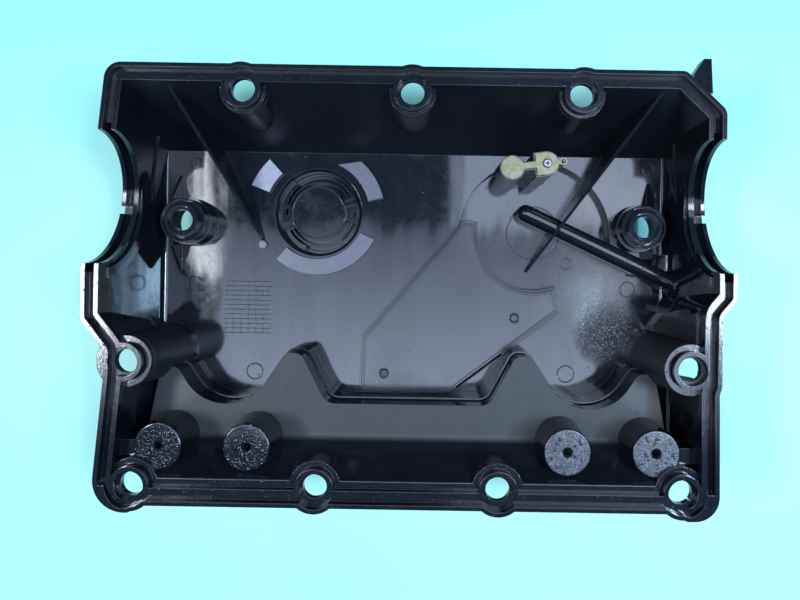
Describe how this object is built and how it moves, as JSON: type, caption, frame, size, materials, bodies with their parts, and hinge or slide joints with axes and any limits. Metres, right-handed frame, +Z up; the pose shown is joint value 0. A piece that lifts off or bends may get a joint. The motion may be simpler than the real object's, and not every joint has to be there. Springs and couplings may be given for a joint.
{
  "type": "engine valve cover",
  "caption": "Moulded plastic engine valve cover, open side up, with gasket groove, camshaft arches, baffle plate, drain reed valve, pressure regulator and bayonet filler cap.",
  "frame": {"origin": "on the resting plane under the crown, straight below the middle of the gasket flange; the underside of the separator chamber lies there", "axes": "+X along the crankshaft towards the gas outlet end, +Y towards the camshaft arches, +Z up out of the open side, square to the gasket flange"},
  "size_m": [0.3502, 0.2481, 0.09],
  "materials": {
    "cover_plastic": "oily satin black, glass-filled polyamide",
    "baffle_plastic": "oily black",
    "pin_plastic": "black",
    "reed_steel": "oil-tinted spring steel",
    "rivet_steel": "satin",
    "cap_plastic": "black",
    "grip_plastic": "black",
    "lid_plastic": "black",
    "seal_rubber": "soft black",
    "spring_steel": "bright wire"
  },
  "bodies": {
    "cover": {"cover_shell": "cover_plastic", "baffle_plate": "baffle_plastic", "baffle_pins": "pin_plastic", "reed_rivet": "rivet_steel", "breather_lid": "lid_plastic", "diaphragm": "seal_rubber", "diaphragm_disc": "pin_plastic", "regulator_spring": "spring_steel"},
    "filler_cap": {"cap_plug": "cap_plastic", "cap_seal": "seal_rubber", "cap_grip": "grip_plastic"},
    "reed": {"reed_leaf": "reed_steel"}
  },
  "joints": [
    {"name": "cap_turn", "type": "hinge", "parent": "cover", "child": "filler_cap", "pos_m": [-0.0606, 0.0472, 0.01], "axis": [0, 0, -1], "range_deg": [0, 90]},
    {"name": "reed_flex", "type": "hinge", "parent": "cover", "child": "reed", "pos_m": [0.07751, 0.07489, 0.05835], "axis": [-0.1374, 0.9905, 0], "range_deg": [0, 3], "stiffness_Nm_per_rad": 0.02}
  ]
}
